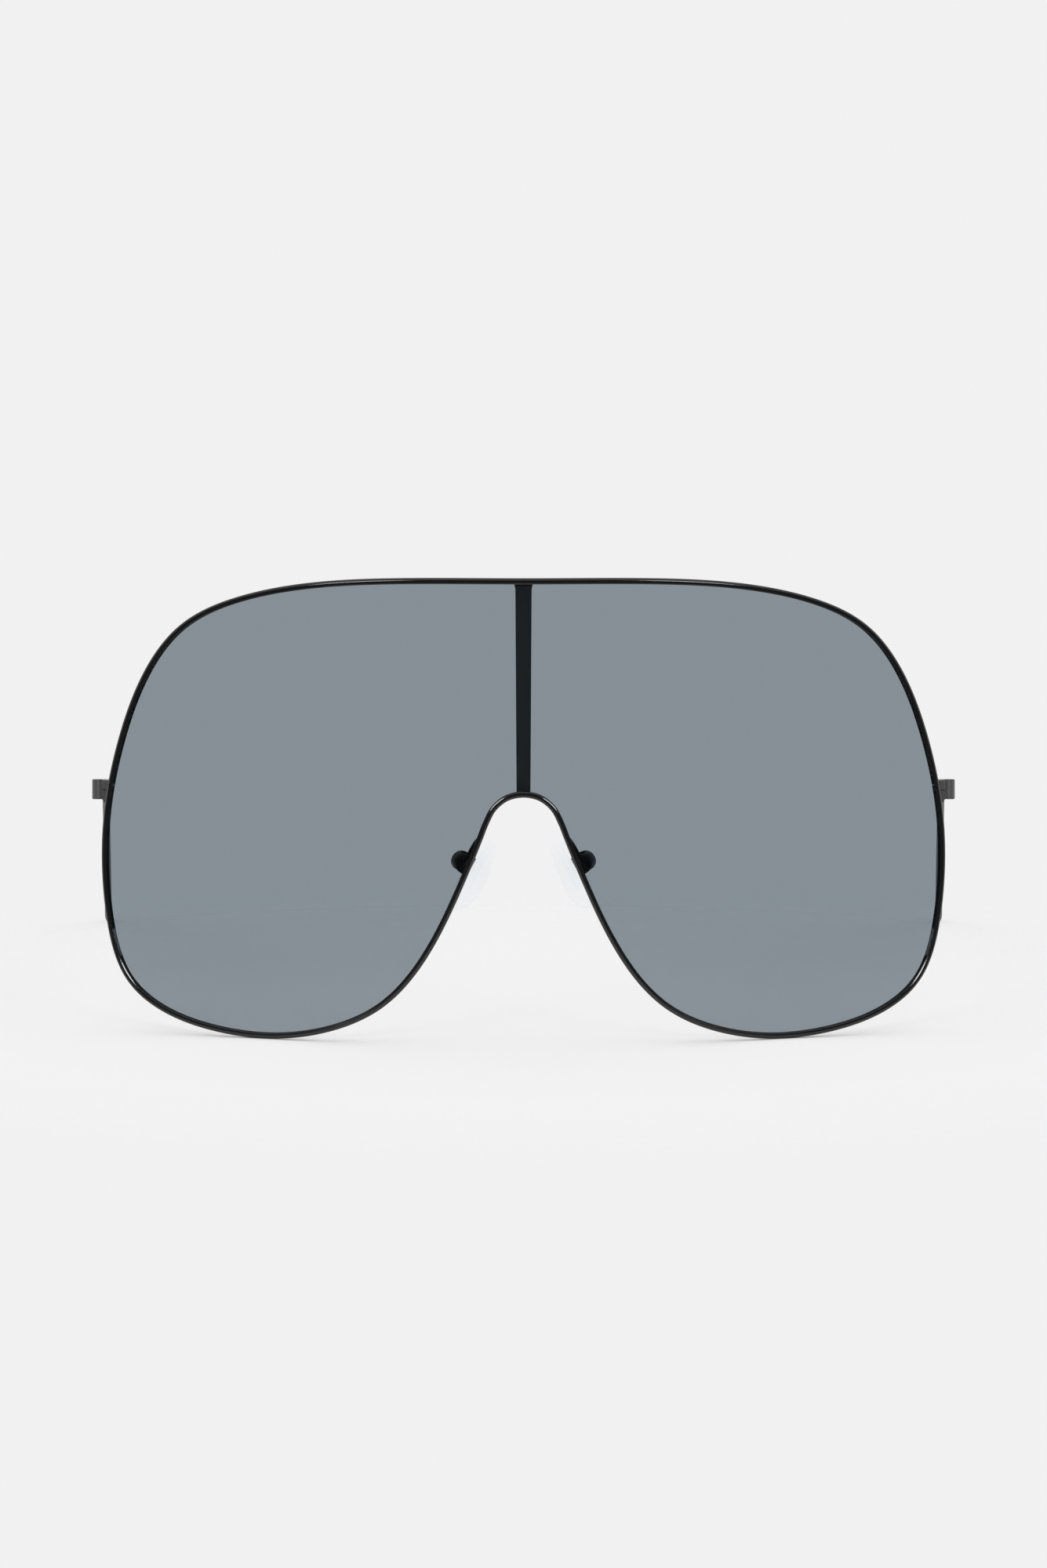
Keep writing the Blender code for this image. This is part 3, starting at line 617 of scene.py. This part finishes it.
def blackened_steel():
    """Steel with a thin black oxide skin, worn brighter in specks, and finely uneven from the lathe."""
    made = new_shader("blackened_steel")
    place = made.place()
    worn = made.noise(place, scale=2600.0, detail=4.0).over(0.50, 0.72)
    turned = made.noise(place, scale=12000.0)
    sockets = {
        "Base Color": made.mixed(worn, (0.020, 0.020, 0.023, 1), (0.075, 0.075, 0.080, 1)),
        "Metallic": 0.85,
        "Roughness": 0.24 + turned * 0.14,
        "Normal": made.bump(turned, strength=0.25, distance=0.00001),
    }
    return made.finish(made.surface(sockets))


def level_faces(shape, height):
    """The faces that lie flat at a height."""
    return [face for face in shape.faces if abs(face.calc_center_median().z - height) < merge_distance]


def cut_slot(shape, neck, head_radius, top):
    """Sinks a slot in the flat top of a screw's head, which stops just short of its rim."""
    disc = bmesh.ops.dissolve_faces(shape, faces=level_faces(shape, top))["region"][0]
    half_width = head_radius * slot_share
    bmesh.ops.inset_region(shape, faces=[disc], thickness=half_width / 2, use_even_offset=True)
    for across in (-half_width, half_width):
        inner = [face for face in level_faces(shape, top) if len(face.verts) > 4]
        edges = list(dict.fromkeys(edge for face in inner for edge in face.edges))
        verts = list(dict.fromkeys(vert for face in inner for vert in face.verts))
        bmesh.ops.bisect_plane(
            shape, geom=inner + edges + verts,
            plane_co=(0, across, 0), plane_no=(0, 1, 0), dist=cut_distance,
        )
    strip = min(level_faces(shape, top), key=lambda face: face.calc_center_median().length_squared)
    made = bmesh.ops.extrude_face_region(shape, geom=[strip])["geom"]
    floor = [item for item in made if isinstance(item, bmesh.types.BMVert)]
    bmesh.ops.translate(shape, vec=(0, 0, (neck - top) * slot_depth_share), verts=floor)


def screw_shape(place, radius, start, neck, head_radius, top):
    """A turned screw on the place's Z: its shank from start to neck, and its slotted head to the top."""
    shape = bmesh.new()
    profile = [
        (0.0, start), (radius, start), (radius, neck), (head_radius, neck), (head_radius, top), (0.0, top),
    ]
    verts = [shape.verts.new((x, 0, z)) for x, z in profile]
    edges = [shape.edges.new(pair) for pair in zip(verts, verts[1:])]
    bmesh.ops.spin(
        shape, geom=verts + edges, cent=(0, 0, 0), axis=(0, 0, 1), angle=math.tau,
        steps=screw_steps, use_merge=True, use_duplicate=False,
    )
    bmesh.ops.remove_doubles(shape, verts=shape.verts, dist=merge_distance)
    cut_slot(shape, neck, head_radius, top)
    bmesh.ops.transform(shape, matrix=place, verts=shape.verts)
    return shape


def upright(point, axis):
    """A place with its Z along the axis."""
    return Matrix.Translation(point) @ Vector(axis).to_track_quat("Z", "Y").to_matrix().to_4x4()


def hinge_screw(side):
    """Down through the knuckles as their pin, with its head on top."""
    hinge = joints[f"{side}_temple_fold"]
    place = upright(hinge["pos_m"], Vector(hinge["axis"]) * sides[side])
    seat = hinge_height / 2 + screw_seat
    top = seat + hinge_head_height
    return screw_shape(place, hinge_pin_radius, -hinge_height / 2, seat, hinge_head_radius, top)


def rim_lock_screw(side):
    """Up through both halves of the block, with its head below."""
    low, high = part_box(f"{side}_rim_lock_screw")
    middle = (low + high) / 2
    place = Matrix.Translation((middle.x, middle.y, 0))
    neck = low.z + lock_head_height
    return screw_shape(place, lock_screw_radius, high.z, neck, lock_head_radius, low.z)


def pad_screw(side):
    """From the front, through the box and the anchor's tongue."""
    rock = joints[f"{side}_pad_rock"]
    place = upright(rock["pos_m"], -Vector(rock["axis"]))
    seat = pad_box_width / 2 + screw_seat
    top = seat + pad_head_height
    return screw_shape(place, pad_screw_radius, -pad_box_width / 2, seat, pad_head_radius, top)


screw_steel = blackened_steel()
for side in sides:
    screws = {
        "hinge_screw": hinge_screw(side),
        "rim_lock_screw": rim_lock_screw(side),
        "pad_screw": pad_screw(side),
    }
    for name, shape in screws.items():
        piece(f"{side}_{name}", shape, screw_steel, "front", smooth_deg=30)


# The temples. Flat lacquered strips stamped from sheet, with the narrow core of the tip in one piece
# with them, and over the core a slim sleeve of satin black plastic, bent down behind the ear.
temple_round = 0.00018
temple_slope = math.radians(6.8)
temple_splay = math.radians(1.4)
temple_length = 0.0970
temple_middle = 0.0015
ear_bend_radius = 0.0140
tip_flare = math.radians(0.3)
tip_reach = 0.0360
tip_height = 0.0036
tip_thickness = 0.0013
tip_start = 0.0020
tip_squareness = 2.8
# The mouth's rounded edge: distances from the sleeve's start, and shares of its full section.
tip_mouth = ((0.0, 0.86), (0.0001, 0.95), (0.0003, 1.0))
tip_sides = 36
tip_steps = 40
tip_end_steps = 10
temple_lacquer = black_lacquer("temple_lacquer", tone=0.006, roughness=0.42, mirror=0.22)


def sleeve_plastic():
    """Satin black plastic, with the fine even grain that its mould leaves."""
    made = new_shader("sleeve_plastic")
    place = made.place()
    grain = made.noise(place, scale=5200.0, detail=3.0)
    cloud = made.noise(place, scale=120.0)
    sockets = {
        "Base Color": made.mixed(cloud, (0.0075, 0.0075, 0.0080, 1), (0.0125, 0.0125, 0.0130, 1)),
        "Roughness": 0.36 + grain * 0.12,
        "Normal": made.bump(grain, strength=0.35, distance=0.00001),
    }
    return made.finish(made.surface(sockets))


def on_side(shape, side):
    """A shape made for the right side, mirrored where it is for the left."""
    bmesh.ops.scale(shape, vec=(sides[side], 1, 1), verts=shape.verts)
    return shape


def hinge_place():
    """At the right hinge: X outwards, Y back along the temple, Z up the pin."""
    up = Vector((0, math.sin(temple_slope), math.cos(temple_slope)))
    straight = Vector((0, math.cos(temple_slope), -math.sin(temple_slope)))
    out = Vector((1, 0, 0)) * math.cos(temple_splay) - straight * math.sin(temple_splay)
    turn = Matrix((out, up.cross(out), up)).transposed().to_4x4()
    return Matrix.Translation(joints["right_temple_fold"]["pos_m"]) @ turn


def oval(width, height, squareness, steps):
    """A rounded section between an ellipse and a rectangle."""
    def squared(share):
        return math.copysign(abs(share) ** (2 / squareness), share)

    angles = [math.tau * i / steps for i in range(steps)]
    return [(squared(math.cos(a)) * width / 2, squared(math.sin(a)) * height / 2) for a in angles]


def tip_place(distance, scale, turn):
    """The sleeve's section at a distance along the temple, which bends down past its length."""
    arc_length = ear_bend_radius * turn
    past = distance - temple_length
    angle = min(max(past, 0.0), arc_length) / ear_bend_radius
    y = temple_length + ear_bend_radius * math.sin(angle) + min(past, 0.0)
    z = ear_bend_radius * (math.cos(angle) - 1)
    beyond = max(past - arc_length, 0.0)
    y += beyond * math.cos(angle)
    z -= beyond * math.sin(angle)
    x = temple_middle + math.tan(tip_flare) * max(y - temple_length, 0.0)
    place = Matrix.Translation((x, y, z)) @ Matrix.Rotation(-angle, 4, "X")
    return place @ Matrix.Diagonal((scale, 1.0, scale, 1.0))


def tip_shape(side):
    """The sleeve, from its mouth round the bend, which turns until its end stands on the table."""
    hinge_level = joints["right_temple_fold"]["pos_m"][2]
    drop = hinge_level - temple_length * math.sin(temple_slope)
    drop -= ear_bend_radius * math.cos(temple_slope) + tip_height / 2
    reach = math.hypot(tip_reach, ear_bend_radius)
    turn = math.asin(drop / reach) + math.atan2(ear_bend_radius, tip_reach) - temple_slope
    start = temple_length - tip_start
    end = temple_length + ear_bend_radius * turn + tip_reach
    stations = [(start + distance, scale) for distance, scale in tip_mouth]
    full = stations[-1][0]
    stations += [(full + (end - full) * i / tip_steps, 1.0) for i in range(1, tip_steps + 1)]
    for i in range(1, tip_end_steps):
        angle = math.pi / 2 * i / tip_end_steps
        stations.append((end + tip_height / 2 * math.sin(angle), math.cos(angle)))
    section = oval(tip_thickness, tip_height, tip_squareness, tip_sides)
    place = hinge_place()
    shape = sweep(section, [place @ tip_place(distance, scale, turn) for distance, scale in stations])
    return on_side(shape, side)


sleeve = sleeve_plastic()
for side in sides:
    body = f"{side}_temple_arm"
    finer(f"{side}_temple", temple_lacquer, body, temple_round)
    piece(f"{side}_temple_tip", tip_shape(side), sleeve, body)


# The nose pads. Soft clear silicone, domed towards the nose, moulded round a stiff clear anchor whose
# tongue is screwed in a small lacquered box. A short lacquered wire carries the box from the rim.
pad_length = 0.0138
pad_width = 0.0074
pad_thickness = 0.0024
pad_seat = 0.0022
pad_drop = 0.0019
pad_taper_share = 0.16
pad_sides = 32
# The rings of the pad, from its back to its crown: shares of its outline and of its thickness.
pad_rings = (
    (0.60, 0.02), (0.80, 0.00), (0.92, 0.10), (0.985, 0.25), (1.00, 0.42), (0.97, 0.60),
    (0.89, 0.77), (0.74, 0.89), (0.52, 0.97), (0.26, 1.00),
)
pad_edge_share = 0.10
pad_haze = 0.008
anchor_length = 0.0070
anchor_thickness = 0.0007
anchor_cover = 0.0005
anchor_round = 0.00008
anchor_edge_steps = 2
tongue_width = 0.0016
tongue_thickness = 0.0014
tongue_steps = 16
pad_box_round = 0.00006
pad_box_crease_deg = 50
arm_foot = 0.00035
quad_fold = math.radians(30)
quad_skew = math.radians(60)


def clear_moulding(name, color):
    """A clear moulding: seen through, with bright edges and a slightly milky skin."""
    made = new_shader(name)
    place = made.place()
    cloud = made.noise(place, scale=600.0, detail=3.0)
    skin = made.bump(made.noise(place, scale=350.0), strength=0.15, distance=0.00003)
    sockets = {"Base Color": (0.93, 0.96, 1.00, 1), "Roughness": 0.06 + cloud * 0.08, "Normal": skin}
    share = pad_haze + made.edge_on(power=4) * pad_edge_share
    return made.finish(made.blend(share, made.see_through(color), made.surface(sockets)))


def pad_place():
    """At the right pad's screw: X up the pad's length, Y back along the screw, Z towards the nose."""
    rock = joints["right_pad_rock"]
    back = Vector(rock["axis"])
    length = Vector((-back.z, 0, back.x)).normalized()
    turn = Matrix((length, back, length.cross(back))).transposed().to_4x4()
    return Matrix.Translation(rock["pos_m"]) @ turn


def pad_shape(side):
    """Rings of the pad's outline, which is an oval with a fuller lower end."""
    outline = []
    for i in range(pad_sides):
        angle = math.tau * i / pad_sides
        fullness = 1 - pad_taper_share * math.cos(angle)
        outline.append((math.cos(angle) * pad_length / 2, math.sin(angle) * pad_width / 2 * fullness))
    # The sweep's sections stand in X and Z, so its Y runs against the pad's Z here.
    lying = Matrix.Rotation(math.radians(90), 4, "X")
    places = []
    for share, level in pad_rings:
        middle = Matrix.Translation((-pad_drop, 0, pad_seat + pad_thickness * level))
        places.append(pad_place() @ middle @ lying @ Matrix.Diagonal((share, 1, share, 1)))
    return on_side(sweep(outline, places), side)


def anchor_shape(side):
    """A bar inside the pad with a round-ended tongue, which the screw goes through."""
    low = pad_seat + anchor_cover
    high = low + anchor_thickness
    upper_end = (anchor_length - pad_drop) / 2
    lower_end = -(anchor_length + pad_drop) / 2
    neck = tongue_width / 2
    outline = [
        (neck, low), (upper_end, low), (upper_end, high),
        (lower_end, high), (lower_end, low), (-neck, low),
    ]
    outline += arc((0, 0), neck, 180, 360, tongue_steps)
    half = Matrix.Translation((0, tongue_thickness / 2, 0))
    shape = sweep(outline, [pad_place() @ half.inverted(), pad_place() @ half])
    soften(shape, anchor_round, anchor_edge_steps)
    return on_side(shape, side)


def arm_shape(side):
    """The CAD wire, its triangles made quads so that it shades smoothly, and its foot on the box."""
    shape = whole_copy(f"{side}_pad_arm")
    bmesh.ops.join_triangles(
        shape, faces=shape.faces, angle_face_threshold=quad_fold, angle_shape_threshold=quad_skew,
    )
    box = Vector(joints[f"{side}_pad_rock"]["pos_m"])
    ends = [face for face in shape.faces if len(face.verts) > 4]
    foot = min(ends, key=lambda face: (face.calc_center_median() - box).length)
    bmesh.ops.translate(shape, vec=foot.normal * arm_foot, verts=foot.verts)
    return shape


pad_silicone = clear_moulding("pad_silicone", (0.996, 0.998, 1.0, 1))
pad_anchor = clear_moulding("pad_anchor", (0.992, 0.996, 1.0, 1))
for side in sides:
    body, slot_name = f"{side}_pad", "lacquered_fittings"
    pad = piece(f"{side}_nose_pad", pad_shape(side), pad_silicone, body, smooth_deg=60)
    smooth = pad.modifiers.new("smooth", "SUBSURF")
    smooth.levels = smooth.render_levels = 1
    piece(f"{side}_pad_core", anchor_shape(side), pad_anchor, body)
    finer(f"{side}_pad_box", fitting_lacquer, "front", pad_box_round, pad_box_crease_deg)
    piece(f"{side}_pad_arm", arm_shape(side), fitting_lacquer, "front", smooth_deg=60)
